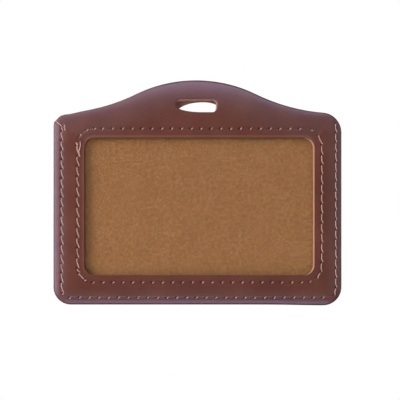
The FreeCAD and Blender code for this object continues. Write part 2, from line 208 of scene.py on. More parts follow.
# How a thread lies between two holes: where it rises, how far past the next hole it runs, its drift
# to the side, where the drift begins, how deep it sinks between the holes, and its swing as it rises.
upright = {"start": 0.30, "over": 0.12, "drift": 0.72, "turn": 0.25, "sunk": 0.0, "swing": 0.0}
uprightRight = {"start": 0.34, "over": 0.02, "drift": 0.42, "turn": 0.5, "sunk": 0.0, "swing": 0.0}
level = {"start": 0.36, "over": -0.1, "drift": 0.10, "turn": 0.2, "sunk": 1.0, "swing": 0.24}
turning = {"start": 0.30, "over": 0.10, "drift": 0.10, "turn": 0.25, "sunk": 0.0, "swing": 0.0}
cornered = {"start": 0.30, "over": -0.1, "drift": 0.0, "turn": 0.2, "sunk": 0.8, "swing": 0.12}


# Needle holes at even steps along a straight line.
def lineOf(x0, z0, x1, z1, count):
    return [(x0 + (x1 - x0) * k / (count - 1), z0 + (z1 - z0) * k / (count - 1)) for k in range(count)]


# Needle holes round a corner, at these angles in degrees.
def bow(x, z, radius, angles):
    turns = [math.radians(angle) for angle in angles]
    return [(x + radius * math.cos(turn), z + radius * math.sin(turn)) for turn in turns]


cornerX0, cornerX1 = seamX0 + seamTurn, seamX1 - seamTurn
cornerZ0, cornerZ1 = seamZ0 + seamTurn, seamZ1 - seamTurn
windowTop = [(-37.5, seamZ1)] + lineOf(-34.5, seamZ1, 37.3, seamZ1, 21)
rightCorner = bow(cornerX1, cornerZ1, seamTurn, (72, 38))
windowRight = lineOf(seamX1, -14.5, seamX1, -57.3, 13) + bow(cornerX1, cornerZ0, seamTurn, (-20, -46))
rightFoot = bow(cornerX1, cornerZ0, seamTurn, (-78, -46))
windowCorner = bow(cornerX0, cornerZ1, seamTurn, (116, 148))
windowLeft = lineOf(seamX0, -14.8, seamX0, -59.4, 13)
windowBottom = (bow(cornerX0, cornerZ0, seamTurn, (-156, -124))
                + lineOf(-38.0, seamZ0, 37.96, seamZ0, 22))
edgeLeft = [(edgeX0 + 0.3, -7.7)] + lineOf(edgeX0, -9.4, edgeX0, -64.6, 17)
edgeBottom = (bow(edgeX0 + edgeTurn, edgeZ0 + edgeTurn, edgeTurn, (-158,))
              + lineOf(-46.5, edgeZ0, 45.8, edgeZ0, 27))
edgeRight = (lineOf(edgeX1, -6.5, edgeX1, -66.5, 18)
             + bow(edgeX1 - edgeTurn, edgeZ0 + edgeTurn, edgeTurn, (-38,)))

# The holes of each run in sewing order, and the way the thread lies there.
windowRuns = [
    (windowTop + rightCorner[:1], level),
    (rightCorner, cornered),
    (rightCorner[1:] + windowRight, uprightRight),
    (windowLeft[:1] + windowCorner[::-1] + windowTop[:1], cornered),
    (windowLeft + windowBottom[:1], upright),
    (windowBottom[:2], turning),
    (windowBottom[1:] + rightFoot[:1], level),
    (rightFoot, cornered),
]
edgeRuns = [
    (edgeLeft + edgeBottom[:1], upright),
    (edgeBottom + edgeRight[-1:], level),
    (edgeRight, uprightRight),
]


# Every needle hole once.
def holePlaces(runs):
    places = np.vstack([run for run, lay in runs])
    kept = []
    for place in places:
        if all(np.hypot(*(place - other)) > 0.3 for other in kept):
            kept.append(place)
    return np.array(kept)


windowHoles = holePlaces(windowRuns)
edgeHoles = holePlaces(edgeRuns)
allHoles = np.vstack((windowHoles, edgeHoles))


# The front leather's faces.

waveRng = np.random.default_rng(11)
waves = [(waveRng.uniform(-1, 1, 2) / waveRng.uniform(3.5, 9.0), waveRng.uniform(0, 2 * math.pi),
          waveRng.uniform(0.4, 1.0)) for k in range(14)]


# Slow hand-made unevenness, about 1 high at most.
def undulation(points):
    total = np.zeros(len(points))
    for direction, phase, size in waves:
        total += size * np.sin(points @ direction + phase)
    return total / 6


# How the front leather swells: the share of its rise at the edge seam, the width of the sewn strip
# outside that seam, how far in it stands at full height, and how full its curves are.
swell = {"seamRise": 0.62, "bottomStrip": 2.6, "leftStrip": 2.9, "rightStrip": 2.1, "stripCurve": 1.6,
         "fieldReach": 9.0, "crownRim": 0.10, "crownReach": 14.0, "crownCurve": 3.6}


# 0 on the sewn body, 1 on the free leaves, with a soft change across the bend.
def onLeaf(z):
    return smooth(z, bendLine - 3.5, bendLine + 3.5)


# How far the front leather stands off the rear one, and how far each point is from the outline.
def pillow(points):
    gap, place = distanceTo(points, outline)
    x, z = points[:, 0], points[:, 1]
    inset = np.where(z < edgeZ0 + 6, swell["bottomStrip"],
                     np.where(x < 0, swell["leftStrip"], swell["rightStrip"]))
    rim = swell["seamRise"] * rise
    strip = rim * (1 - (1 - np.clip(gap / inset, 0, 1)) ** swell["stripCurve"])
    inward = np.clip((gap - inset) / (swell["fieldReach"] - inset), 0, 1)
    field = rim + (rise - rim) * (1 - (1 - inward) ** 2)
    sides = np.where(gap < inset, strip, field)
    crownInward = np.clip(gap / swell["crownReach"], 0, 1)
    filled = 1 - (1 - crownInward) ** swell["crownCurve"]
    crown = swell["crownRim"] + (rise - swell["crownRim"]) * filled
    share = onLeaf(place[:, 1])
    return sides * (1 - share) + crown * share, gap


# How far the inside of the front leather has risen: the film lies against it.
def pressedUnder(gap, lift):
    return smooth(gap, 2.5, 6.5) * lift


# How rubbed and shiny the face is: bright along the edges and over the hump, dull on the flats.
def burnishAt(points):
    gap, place = distanceTo(points, outline)
    sides = 1 - 0.9 * smooth(gap, 2.5, 6.5)
    crown = 0.92 - 0.22 * smooth(gap, 0.5, 2.5) - 0.58 * smooth(gap, 6.0, 13.0)
    share = onLeaf(place[:, 1])
    return sides * (1 - share) + crown * share


# How far the hump leans to the rear: nothing at the bend, more towards the crown.
def lean(points):
    return 0.0075 * np.maximum(points[:, 1] + 5.0, 0) ** 2


# A soft bump: 1 where the gap is 0, and about a third one reach away.
def fading(gap, reach):
    return np.exp(-(gap / reach) ** 2)


# How far each point is from the nearest needle hole.
def fromHoles(points, holes):
    return np.sqrt(((points[:, None, :] - np.array(holes)[None, :, :]) ** 2).sum(2)).min(1)


# The thread pulls a groove along each seam, with a low swell beside it, and a pit at each needle hole.
groove = {"depth": 0.08, "reach": 0.30, "swell": 0.03, "swellOut": 0.85, "swellReach": 0.4,
          "pitDepth": 0.50, "pitReach": 0.33, "pitShade": 0.7}


# How deep each point is sunk by the seams, and how much painted shade it gets as part of a pit.
def seamRelief(points):
    depth = np.zeros(len(points))
    for run, closed in ((windowSeam, True), (edgeSeam, False)):
        gap = distanceTo(points, run, closed)[0]
        depth += groove["depth"] * fading(gap, groove["reach"])
        depth -= groove["swell"] * fading(gap - groove["swellOut"], groove["swellReach"])
    pit = fading(fromHoles(points, allHoles), groove["pitReach"])
    return depth + groove["pitDepth"] * pit, pit * groove["pitShade"]


# Points and triangles of a flat sheet: fine rows along its rims and seams, and a coarser field.
def triangulate(rims, spines, spacing, holes=()):
    rows = (0.07, 0.16, 0.28, 0.45, 0.7, 1.05)
    seamRows = (-0.9, -0.62, -0.4, -0.2, 0.0, 0.2, 0.4, 0.62, 0.9)
    ringRadii, ringCount, ringClear = (0.0, 0.12, 0.25, 0.38, 0.52), 10, 0.6
    points = list(rims)
    counts = [len(rim) for rim in rims]
    edges = []
    first = 0
    for count in counts:
        edges += [(first + k, first + (k + 1) % count) for k in range(count)]
        first += count
    for index, rim in enumerate(rims):
        for row in rows:
            points.append(offset(rim, row if index == 0 else -row))
    bands = []
    for spine, closed in spines:
        for aside in seamRows:
            bands.append(offset(spine, aside, closed))
    low, high = rims[0].min(0), rims[0].max(0)
    gridX = np.arange(low[0], high[0], spacing)
    gridZ = np.arange(low[1], high[1], spacing * 0.866)
    grid = np.array([(x + (k % 2) * spacing / 2, z) for k, z in enumerate(gridZ) for x in gridX])
    extra = [np.vstack(bands)] if bands else []
    for hole in holes:
        for radius in ringRadii:
            turns = np.linspace(0, 2 * math.pi, ringCount, endpoint=False)[:1 if radius == 0 else None]
            extra.append(np.column_stack((hole[0] + radius * np.cos(turns),
                                          hole[1] + radius * np.sin(turns))))
    near = np.vstack(extra) if extra else np.empty((0, 2))
    for spine, closed in spines:
        gap = distanceTo(grid, spine, closed)[0]
        grid = grid[gap > seamRows[-1] + spacing * 0.45]
    if len(near) and len(holes):
        band = extra[0]
        near = np.vstack([band[fromHoles(band, holes) > ringClear]] + extra[1:])
    free = np.vstack((near, grid))
    keep = inside(free, rims[0])
    for rim in rims[1:]:
        keep &= ~inside(free, rim)
    free = free[keep]
    for rim in rims:
        free = free[distanceTo(free, rim)[0] > rows[-1] + 0.2]
    flat = np.vstack(points + [free])
    result = geometry.delaunay_2d_cdt([Vector(p) for p in flat.tolist()], edges, [], 0, 1e-5)
    made = np.array([tuple(p) for p in result[0]])
    triangles = np.array([f for f in result[2] if len(f) == 3])
    centres = made[triangles].mean(1)
    keep = inside(centres, rims[0])
    for rim in rims[1:]:
        keep &= ~inside(centres, rim)
    triangles = triangles[keep]
    a, b, c = (made[triangles[:, k]] for k in range(3))
    turn = (b[:, 0] - a[:, 0]) * (c[:, 1] - a[:, 1]) - (b[:, 1] - a[:, 1]) * (c[:, 0] - a[:, 0])
    triangles[turn < 0] = triangles[turn < 0][:, ::-1]
    where = {old: new for new, olds in enumerate(result[3]) for old in olds}
    rimIndex = []
    first = 0
    for count in counts:
        rimIndex.append([where[first + k] for k in range(count)])
        first += count
    return made, triangles, rimIndex


# A closed sheet from its flat triangles: front and back faces, and a wall along each rim. slots
# gives the material index of (front, back, each rim's wall).
def solidSheet(name, made, triangles, rims, frontY, backY, backShift, wallRows, wallShape, slots):
    count = len(made)
    front = np.column_stack((made[:, 0], frontY, made[:, 1]))
    backFlat = made + backShift
    back = np.column_stack((backFlat[:, 0], backY, backFlat[:, 1]))
    vertices = [front, back]
    faces = [tuple(t) for t in triangles]
    indices = [slots[0]] * len(triangles)
    faces += [tuple(count + t[::-1]) for t in triangles]
    indices += [slots[1]] * len(triangles)
    total = 2 * count
    for number, rim in enumerate(rims):
        rimArray = np.array(rim)
        previous = rimArray
        outward = offset(made[rimArray], -1.0 if number == 0 else 1.0) - made[rimArray]
        for row in range(1, wallRows + 1):
            share = row / (wallRows + 1)
            between = front[rimArray] * (1 - share) + back[rimArray] * share
            bulge = wallShape[number] * 4 * share * (1 - share)
            between[:, 0] += outward[:, 0] * bulge
            between[:, 2] += outward[:, 1] * bulge
            vertices.append(between)
            current = np.arange(total, total + len(rimArray))
            total += len(rimArray)
            addBand(faces, previous, current, number == 0)
            previous = current
        addBand(faces, previous, rimArray + count, number == 0)
        indices += [slots[2 + number]] * (len(rimArray) * (wallRows + 1))
    mesh = bpy.data.meshes.new(name)
    mesh.from_pydata((np.vstack(vertices) * mm).tolist(), [], [tuple(int(i) for i in f) for f in faces])
    mesh.polygons.foreach_set("material_index", indices)
    mesh.shade_smooth()
    mesh.update()
    thing = bpy.data.objects.new(name, mesh)
    bpy.context.scene.collection.objects.link(thing)
    return thing, total


# A strip of four-sided faces between two rows of the same rim.
def addBand(faces, upper, lower, outer):
    count = len(upper)
    for k in range(count):
        following = (k + 1) % count
        strip = (upper[k], lower[k], lower[following], upper[following])
        faces.append(strip if outer else strip[::-1])


# A named value on each vertex; vertices past the end of values all get the same rest.
def setPointValue(thing, name, values, total, rest=0.0):
    layer = thing.data.attributes.new(name, "FLOAT", "POINT")
    full = np.full(total, rest, np.float32)
    full[:len(values)] = values
    layer.data.foreach_set("value", full)


# Materials. Object coordinates are in metres, so a texture's scale is one over its pattern's size.

# An sRGB hex colour as linear red, green, blue and alpha.
def hexColour(code):
    parts = [int(code[k:k + 2], 16) / 255 for k in (1, 3, 5)]
    return [p / 12.92 if p <= 0.04045 else ((p + 0.055) / 1.055) ** 2.4 for p in parts] + [1.0]


# One node: settings by property or input name, and links as input: (node, output). The stops of a
# colour ramp are (place, colour) pairs.
def addNode(tree, kind, settings=None, links=None):
    node = tree.nodes.new(kind)
    for key, value in (settings or {}).items():
        if key == "stops":
            elements = node.color_ramp.elements
            elements[0].position, elements[0].color = value[0]
            elements[1].position, elements[1].color = value[-1]
            for position, colour in value[1:-1]:
                elements.new(position).color = colour
        elif isinstance(key, int) or key in node.inputs:
            node.inputs[key].default_value = value
        else:
            setattr(node, key, value)
    for key, (source, output) in (links or {}).items():
        tree.links.new(source.outputs[output], node.inputs[key])
    return node


def newMaterial(name):
    material = bpy.data.materials.new(name)
    material.use_nodes = True
    tree = material.node_tree
    tree.nodes.clear()
    output = tree.nodes.new("ShaderNodeOutputMaterial")
    place = tree.nodes.new("ShaderNodeTexCoord")
    return material, tree, output, place


# Smooth aniline-dyed leather: fine pebble grain and pores, slow tone changes, a painted highlight
# beside the window's top and left rims, and painted shade in the needle pits.
def grainLeather(name, base, dark, light):
    material, tree, output, place = newMaterial(name)
    tone = addNode(tree, "ShaderNodeTexNoise", {"Scale": 1 / 0.011, "Detail": 3.0, "Roughness": 0.55},
                   {"Vector": (place, "Object")})
    cloud = addNode(tree, "ShaderNodeValToRGB", {"stops": [(0.30, dark), (0.5, base), (0.72, light)]},
                    {"Fac": (tone, "Fac")})
    fine = addNode(tree, "ShaderNodeTexNoise", {"Scale": 1 / 0.0012, "Detail": 4.0, "Roughness": 0.6},
                   {"Vector": (place, "Object")})
    speck = addNode(tree, "ShaderNodeMix",
                    {"data_type": "RGBA", "blend_type": "OVERLAY", "Factor": 0.10},
                    {6: (cloud, "Color"), 7: (fine, "Color")})
    # Painted highlight: a pale brown is mixed in just outside the window's top and left rims.
    worn = addNode(tree, "ShaderNodeAttribute", {"attribute_name": "worn"})
    rimHighlighted = addNode(tree, "ShaderNodeMix",
                     {"data_type": "RGBA", "blend_type": "MIX", 7: hexColour("#8c5b45")},
                     {"Factor": (worn, "Fac"), 6: (speck, 2)})
    # Painted shade: the needle pits are darkened towards a deep brown.
    pit = addNode(tree, "ShaderNodeAttribute", {"attribute_name": "pit"})
    pitShaded = addNode(tree, "ShaderNodeMix",
                     {"data_type": "RGBA", "blend_type": "MIX", 7: hexColour("#321a13")},
                     {"Factor": (pit, "Fac"), 6: (rimHighlighted, 2)})
    warp = addNode(tree, "ShaderNodeTexNoise", {"Scale": 1 / 0.004, "Detail": 2.0},
                   {"Vector": (place, "Object")})
    bent = addNode(tree, "ShaderNodeMix", {"data_type": "VECTOR", "Factor": 0.0006},
                   {4: (place, "Object"), 5: (warp, "Color")})
    pebbles = addNode(tree, "ShaderNodeTexVoronoi",
                      {"feature": "SMOOTH_F1", "Scale": 1 / 0.00055, "Smoothness": 0.6},
                      {"Vector": (bent, 1)})
    creases = addNode(tree, "ShaderNodeTexNoise",
                      {"Scale": 1 / 0.0022, "Detail": 5.0, "Roughness": 0.65},
                      {"Vector": (place, "Object")})
    slow = addNode(tree, "ShaderNodeBump", {"Strength": 0.22, "Distance": 0.00010},
                   {"Height": (creases, "Fac")})
    bump = addNode(tree, "ShaderNodeBump", {"Strength": 0.18, "Distance": 0.00004, "invert": True},
                   {"Height": (pebbles, "Distance"), "Normal": (slow, "Normal")})
    gloss = addNode(tree, "ShaderNodeMapRange", {"To Min": 0.37, "To Max": 0.46},
                    {"Value": (tone, "Fac")})
    burnish = addNode(tree, "ShaderNodeAttribute", {"attribute_name": "burnish"})
    sheen = addNode(tree, "ShaderNodeMapRange", {"To Min": 0.03, "To Max": 0.45},
                    {"Value": (burnish, "Fac")})
    surface = addNode(tree, "ShaderNodeBsdfPrincipled", {},
                      {"Base Color": (pitShaded, 2), "Roughness": (gloss, "Result"),
                       "Normal": (bump, "Normal"), "Specular IOR Level": (sheen, "Result")})
    tree.links.new(surface.outputs["BSDF"], output.inputs["Surface"])
    return material


# Flesh side of the hide: short nap, soft blotches a few millimetres wide, no shine.
def suede(name, base, dark, light):
    material, tree, output, place = newMaterial(name)
    blotch = addNode(tree, "ShaderNodeTexNoise", {"Scale": 1 / 0.007, "Detail": 3.0, "Roughness": 0.6,
                                                  "Distortion": 0.4}, {"Vector": (place, "Object")})
    cloud = addNode(tree, "ShaderNodeValToRGB", {"stops": [(0.28, dark), (0.5, base), (0.72, light)]},
                    {"Fac": (blotch, "Fac")})
    nap = addNode(tree, "ShaderNodeTexNoise", {"Scale": 1 / 0.0011, "Detail": 5.0, "Roughness": 0.75},
                  {"Vector": (place, "Object")})
    brushed = addNode(tree, "ShaderNodeMapRange", {"From Min": 0.34, "From Max": 0.66},
                      {"Value": (nap, "Fac")})
    napped = addNode(tree, "ShaderNodeMix",
                     {"data_type": "RGBA", "blend_type": "OVERLAY", "Factor": 0.28},
                     {6: (cloud, "Color"), 7: (brushed, "Result")})
    bump = addNode(tree, "ShaderNodeBump", {"Strength": 0.5, "Distance": 0.00012},
                   {"Height": (nap, "Fac")})
    surface = addNode(tree, "ShaderNodeBsdfPrincipled",
                      {"Specular IOR Level": 0.15, "Roughness": 0.92, "Sheen Weight": 0.12,
                       "Sheen Roughness": 0.5, "Sheen Tint": hexColour("#e0b890")},
                      {"Base Color": (napped, 2), "Normal": (bump, "Normal")})
    tree.links.new(surface.outputs["BSDF"], output.inputs["Surface"])
    return material


# The raw cut wall of the hide: tan fibres in layers.
def cutLeather(name, base, dark):
    material, tree, output, place = newMaterial(name)
    fibres = addNode(tree, "ShaderNodeTexNoise", {"Scale": 1 / 0.0005, "Detail": 5.0, "Roughness": 0.7},
                     {"Vector": (place, "Object")})
    colour = addNode(tree, "ShaderNodeValToRGB", {"stops": [(0.3, dark), (0.62, base)]},
                     {"Fac": (fibres, "Fac")})
    bump = addNode(tree, "ShaderNodeBump", {"Strength": 0.45, "Distance": 0.00008},
                   {"Height": (fibres, "Fac")})
    surface = addNode(tree, "ShaderNodeBsdfPrincipled", {"Specular IOR Level": 0.3, "Roughness": 0.75},
                      {"Base Color": (colour, "Color"), "Normal": (bump, "Normal")})
    tree.links.new(surface.outputs["BSDF"], output.inputs["Surface"])
    return material


# Waxed twisted thread: fine fibres along the plies, a soft satin shine.
def sewingThread(name, base, dark):
    material, tree, output, place = newMaterial(name)
    fibres = addNode(tree, "ShaderNodeTexNoise",
                     {"Scale": 1 / 0.00025, "Detail": 4.0, "Roughness": 0.7},
                     {"Vector": (place, "Object")})
    colour = addNode(tree, "ShaderNodeValToRGB", {"stops": [(0.3, dark), (0.6, base)]},
                     {"Fac": (fibres, "Fac")})
    bump = addNode(tree, "ShaderNodeBump", {"Strength": 0.3, "Distance": 0.00003},
                   {"Height": (fibres, "Fac")})
    surface = addNode(tree, "ShaderNodeBsdfPrincipled", {"Roughness": 0.5, "Specular IOR Level": 0.4},
                      {"Base Color": (colour, "Color"), "Normal": (bump, "Normal")})
    tree.links.new(surface.outputs["BSDF"], output.inputs["Surface"])
    return material


# Clear soft film: see-through, glossy, with the faint ripple of a pressed sheet.
def clearFilm(name):
    material, tree, output, place = newMaterial(name)
    ripple = addNode(tree, "ShaderNodeTexNoise", {"Scale": 1 / 0.02, "Detail": 1.0},
                     {"Vector": (place, "Object")})
    bump = addNode(tree, "ShaderNodeBump", {"Strength": 0.15, "Distance": 0.0003},
                   {"Height": (ripple, "Fac")})
    surface = addNode(tree, "ShaderNodeBsdfPrincipled",
                      {"Base Color": (1, 1, 1, 1), "Roughness": 0.05, "IOR": 1.5, "Alpha": 0.16,
                       "Transmission Weight": 1.0, "Coat Weight": 1.0, "Coat Roughness": 0.04},
                      {"Normal": (bump, "Normal")})
    tree.links.new(surface.outputs["BSDF"], output.inputs["Surface"])
    return material


brown = grainLeather("brown_grain_leather", hexColour("#61372d"), hexColour("#5c332a"),
                     hexColour("#663c32"))
tanSuede = suede("tan_suede", hexColour("#895e35"), hexColour("#865b32"), hexColour("#8d6138"))
tanCut = cutLeather("tan_cut_edge", hexColour("#b08063"), hexColour("#8b5d45"))
# A darker copy of the cut edge, painted as shade on the window's walls other than the right one.
shadedWindowCut = cutLeather("painted_shade_window_cut_edge", hexColour("#8c5c46"), hexColour("#6e4636"))
# The front slot's cut wall: a paler, pinker tan than the window's.
paleCut = cutLeather("pale_slot_cut_edge", hexColour("#a5796d"), hexColour("#7d564b"))
# The dyed cut wall of the rear slot; the same brown is painted on the suede round the slot as shade.
dyedCutAndSlotShade = cutLeather("dyed_cut_edge_and_slot_shade", hexColour("#8f5f52"), hexColour("#6b463c"))
windowThreadLook = sewingThread("window_waxed_thread", hexColour("#c49a8c"), hexColour("#96705f"))
edgeThreadLook = sewingThread("edge_waxed_thread", hexColour("#c49c90"), hexColour("#967064"))
filmLook = clearFilm("clear_window_film")


# Front leather: rounded over at its edge, its window and its slot. A crease runs along the window's
# top and left rims with a painted highlight beside it, and the cut walls of window and slot slant.
# clearOfRear keeps its inside, and the film that lies against it, just off the rear leather.

frontPiece = {"spacing": 0.9, "edgeRound": 0.45, "windowRound": 0.12, "windowTopRound": 0.08,
              "slotRound": 0.20, "creaseTop": 0.12, "creaseLeft": 0.05, "creaseOut": 0.32,
              "creaseReach": 0.30, "worn": 3.4, "highlightOut": 0.45, "highlightReach": 0.40, "uneven": 0.05,
              "clearOfRear": 0.03, "windowMiddle": (1.2, -36.85), "slantRight": -0.55,
              "slantLeft": 0.18, "slantTop": -0.40, "slantFade": 2.5, "slotDrop": -0.90,
              "slotFade": 2.0, "litWallX": 39.5, "wallRows": 4, "wallBulge": 0.10}

print("front leather")
flat, triangles, rims = triangulate([outline, window, frontSlot],
                                    [(windowSeam, True), (edgeSeam, False)],
                                    frontPiece["spacing"], allHoles)


# The y of the front leather's outer face, before its seams are drawn in.
def frontFaceAt(points):
    lift, gap = pillow(points)
    return (-leather - lift + lean(points)
            - frontPiece["uneven"] * undulation(points) * smooth(gap, 0.5, 6.0))


# How far a rounded edge has fallen away at a distance from the rim.
def roundOver(gap, radius):
    inner = np.clip(radius - gap, 0, radius)
    return radius - np.sqrt(np.maximum(radius ** 2 - inner ** 2, 0))


sunk, pits = seamRelief(flat)
lift, outerGap = pillow(flat)
windowGap, windowFoot = distanceTo(flat, window)
slotGap, slotFoot = distanceTo(flat, frontSlot)
windowRound = (frontPiece["windowRound"]
               + frontPiece["windowTopRound"] * smooth(windowFoot[:, 1], -14.0, -12.0))
creased = np.maximum(frontPiece["creaseTop"] * smooth(windowFoot[:, 1], -14.5, -12.3),
                     frontPiece["creaseLeft"] * smooth(-windowFoot[:, 0], 38.5, 40.5))
skin = (frontFaceAt(flat) + sunk + roundOver(outerGap, frontPiece["edgeRound"])
        + roundOver(windowGap, windowRound) + roundOver(slotGap, frontPiece["slotRound"])
        - creased * fading(windowGap - frontPiece["creaseOut"], frontPiece["creaseReach"]))
openTop = onLeaf(flat[:, 1])
insideLift = pressedUnder(outerGap, lift) * (1 - openTop) + lift * openTop
backFace = -frontPiece["clearOfRear"] - insideLift + lean(flat)
# The window is cut at a slant, so more of its raw wall shows on the right and at the top.
windowX, windowZ = windowFoot[:, 0], windowFoot[:, 1]
middleX, middleZ = frontPiece["windowMiddle"]
slantX = (np.where(windowX > 0, frontPiece["slantRight"], frontPiece["slantLeft"])
          * smooth(np.abs(windowX - middleX), 36.0, 41.5))
slantZ = (np.where(windowZ > -36, frontPiece["slantTop"], 0.0)
          * smooth(np.abs(windowZ - middleZ), 19.0, 24.5))
fade = 1 - smooth(windowGap, 0.0, frontPiece["slantFade"])
# The slot was punched from behind, and flares to the front at its top and ends.
slotFade = 1 - smooth(slotGap, 0.0, frontPiece["slotFade"])
flareX = np.interp(slotFoot[:, 0], (-7.4, -5.5, 6.5, 7.5), (0.35, 0.0, 0.0, -0.45))
flareZ = frontPiece["slotDrop"] * smooth(slotFoot[:, 1], 0.8, 2.0)
shift = np.column_stack((slantX * fade + flareX * slotFade, slantZ * fade + flareZ * slotFade))
frontLeather, total = solidSheet("front_leather", flat, triangles, rims, skin, backFace, shift,
                                 frontPiece["wallRows"], (frontPiece["wallBulge"], 0.0, 0.0),
                                 (0, 1, 2, 3, 4))
# Painted highlight: how much pale brown is painted beside the crease on the window's top and left rims.
paintedRimHighlight = (frontPiece["worn"] * creased
           * fading(windowGap - frontPiece["highlightOut"], frontPiece["highlightReach"]))
setPointValue(frontLeather, "pit", pits, total)
setPointValue(frontLeather, "burnish", burnishAt(flat), total, rest=1.0)
setPointValue(frontLeather, "worn", paintedRimHighlight, total)
for material in (brown, tanSuede, brown, tanCut, paleCut, shadedWindowCut):
    frontLeather.data.materials.append(material)
# Painted shade: the window's cut wall takes a darker copy of its tan, except on the right, which keeps
# the lit tan.
for polygon in frontLeather.data.polygons:
    if polygon.material_index == 3 and polygon.center.x < frontPiece["litWallX"] * mm:
        polygon.material_index = 5
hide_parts("front_panel", "front_leaf")

# Rear leather: suede to the front, grain to the rear. The dye has crept in round its rim; round its
# slot the suede is painted dark brown as shade.

rearPiece = {"spacing": 1.2, "edgeRound": 0.45, "slotRound": 0.25, "suedeRound": 0.12, "groove": 0.15,
             "grooveReach": 0.34, "pitDepth": 0.5, "uneven": 0.04, "suedeUneven": 0.03,
             "slotShadeReach": 5.0, "dyedRim": 1.2, "wallRows": 4, "wallBulge": 0.10}

print("rear leather")
rearFlat, rearTriangles, rearRims = triangulate([outline, rearSlot], [(edgeSeam, False)],
                                                rearPiece["spacing"], edgeHoles)
rearGap = distanceTo(rearFlat, outline)[0]
rearSlotGap = distanceTo(rearFlat, rearSlot)[0]
seamGap = distanceTo(rearFlat, edgeSeam, False)[0]
rearPit = fading(fromHoles(rearFlat, edgeHoles), groove["pitReach"])
rearBack = (leather - roundOver(rearGap, rearPiece["edgeRound"])
            - roundOver(rearSlotGap, rearPiece["slotRound"])
            - rearPiece["groove"] * fading(seamGap, rearPiece["grooveReach"])
            - rearPiece["pitDepth"] * rearPit
            + rearPiece["uneven"] * undulation(rearFlat + 50) * smooth(rearGap, 1.0, 6.0)
            + lean(rearFlat))
rearFront = (roundOver(rearGap, rearPiece["suedeRound"]) + lean(rearFlat)
             + rearPiece["suedeUneven"] * undulation(rearFlat * 1.7) * smooth(rearGap, 4.0, 8.0))
rearLeather, total = solidSheet("rear_leather", rearFlat, rearTriangles, rearRims, rearFront, rearBack,
                                np.zeros((len(rearFlat), 2)), rearPiece["wallRows"],
                                (rearPiece["wallBulge"], 0.0), (0, 1, 2, 3))
setPointValue(rearLeather, "pit", np.concatenate((np.zeros(len(rearFlat)), rearPit)), total)
backShine = burnishAt(rearFlat)
setPointValue(rearLeather, "burnish", np.concatenate((backShine, backShine)), total, rest=1.0)
for material in (tanSuede, brown, brown, dyedCutAndSlotShade, dyedCutAndSlotShade):
    rearLeather.data.materials.append(material)
rearIndices = np.zeros(len(rearLeather.data.polygons), np.int32)
rearLeather.data.polygons.foreach_get("material_index", rearIndices)
# Painted shade: suede faces near the slot, in shade behind the front leather, take the slot wall's dark
# brown.
shadeNearSlot = rearSlotGap[rearTriangles].max(1) < rearPiece["slotShadeReach"]
nearRim = rearGap[rearTriangles].max(1) < rearPiece["dyedRim"]
rearIndices[:len(rearTriangles)] = np.where(shadeNearSlot, 4, np.where(nearRim, 1, 0))
rearLeather.data.polygons.foreach_set("material_index", rearIndices)
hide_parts("rear_panel", "rear_leaf")

# Window film: it lies against the inside of the front leather.

filmPiece = {"corner": 1.0, "step": 1.0, "spacing": 2.0, "thickness": 0.25, "wallRows": 1}

print("window film")
filmRim = evenly(ovalBox(filmLow.x, filmHigh.x, filmLow.z, filmHigh.z,
                         [(filmPiece["corner"], filmPiece["corner"])] * 4), filmPiece["step"])
filmFlat, filmTriangles, filmRims = triangulate([filmRim], [], filmPiece["spacing"])
filmLift, filmGap = pillow(filmFlat)
filmFace = -pressedUnder(filmGap, filmLift) - frontPiece["clearOfRear"]
windowFilm = solidSheet("clear_window_film_piece", filmFlat, filmTriangles, filmRims, filmFace,
                        filmFace + filmPiece["thickness"], np.zeros((len(filmFlat), 2)),
                        filmPiece["wallRows"], (0.0,), (0, 0, 0))[0]
windowFilm.data.materials.append(filmLook)
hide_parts("window_film")
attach(windowFilm, "pocket")

# Sewing threads.

threadRng = np.random.default_rng(5)
# The plies turn once in each twist. A stitch starts and ends in its holes, climbs out to stand proud
# of the leather, and sinks back where its lay says so.
threadPieces = {"radius": 0.21, "plies": 2, "twist": 1.5, "around": 12, "rows": 34, "inHole": 0.75,
                "climb": 0.83, "sink": 0.43}


# Vertices and faces of one twisted thread along a path of 3-D points.
def tube(path, phase):
    around = threadPieces["around"]
    tangents = np.gradient(path, axis=0)
    tangents /= np.linalg.norm(tangents, axis=1)[:, None]
    travelled = np.concatenate(([0], np.cumsum(np.linalg.norm(np.diff(path, axis=0), axis=1))))
    steep = abs(tangents[len(path) // 2][2]) >= 0.7
    reference = np.cross(tangents, [1.0, 0.0, 0.0] if steep else [0.0, 0.0, 1.0])
    reference /= np.linalg.norm(reference, axis=1)[:, None]
    other = np.cross(tangents, reference)
    angles = np.linspace(0, 2 * math.pi, around, endpoint=False)
    lay = angles[None, :] - 2 * math.pi * travelled[:, None] / threadPieces["twist"] + phase
    radius = threadPieces["radius"] * (0.93 + 0.13 * np.cos(threadPieces["plies"] * lay))
    taper = np.clip(np.minimum(travelled, travelled[-1] - travelled) / 0.15, 0.35, 1)
    radius = radius * taper[:, None]
    outward = (np.cos(angles)[None, :, None] * reference[:, None, :]
               + np.sin(angles)[None, :, None] * other[:, None, :])
    ring = path[:, None, :] + radius[:, :, None] * outward
    faces = []
    for row in range(len(path) - 1):
        for k in range(around):
            a = row * around + k
            b = row * around + (k + 1) % around
            faces.append((a, b, b + around, a + around))
    faces.append(tuple(range(around))[::-1])
    faces.append(tuple(range((len(path) - 1) * around, len(path) * around)))
    return ring.reshape(-1, 3), faces


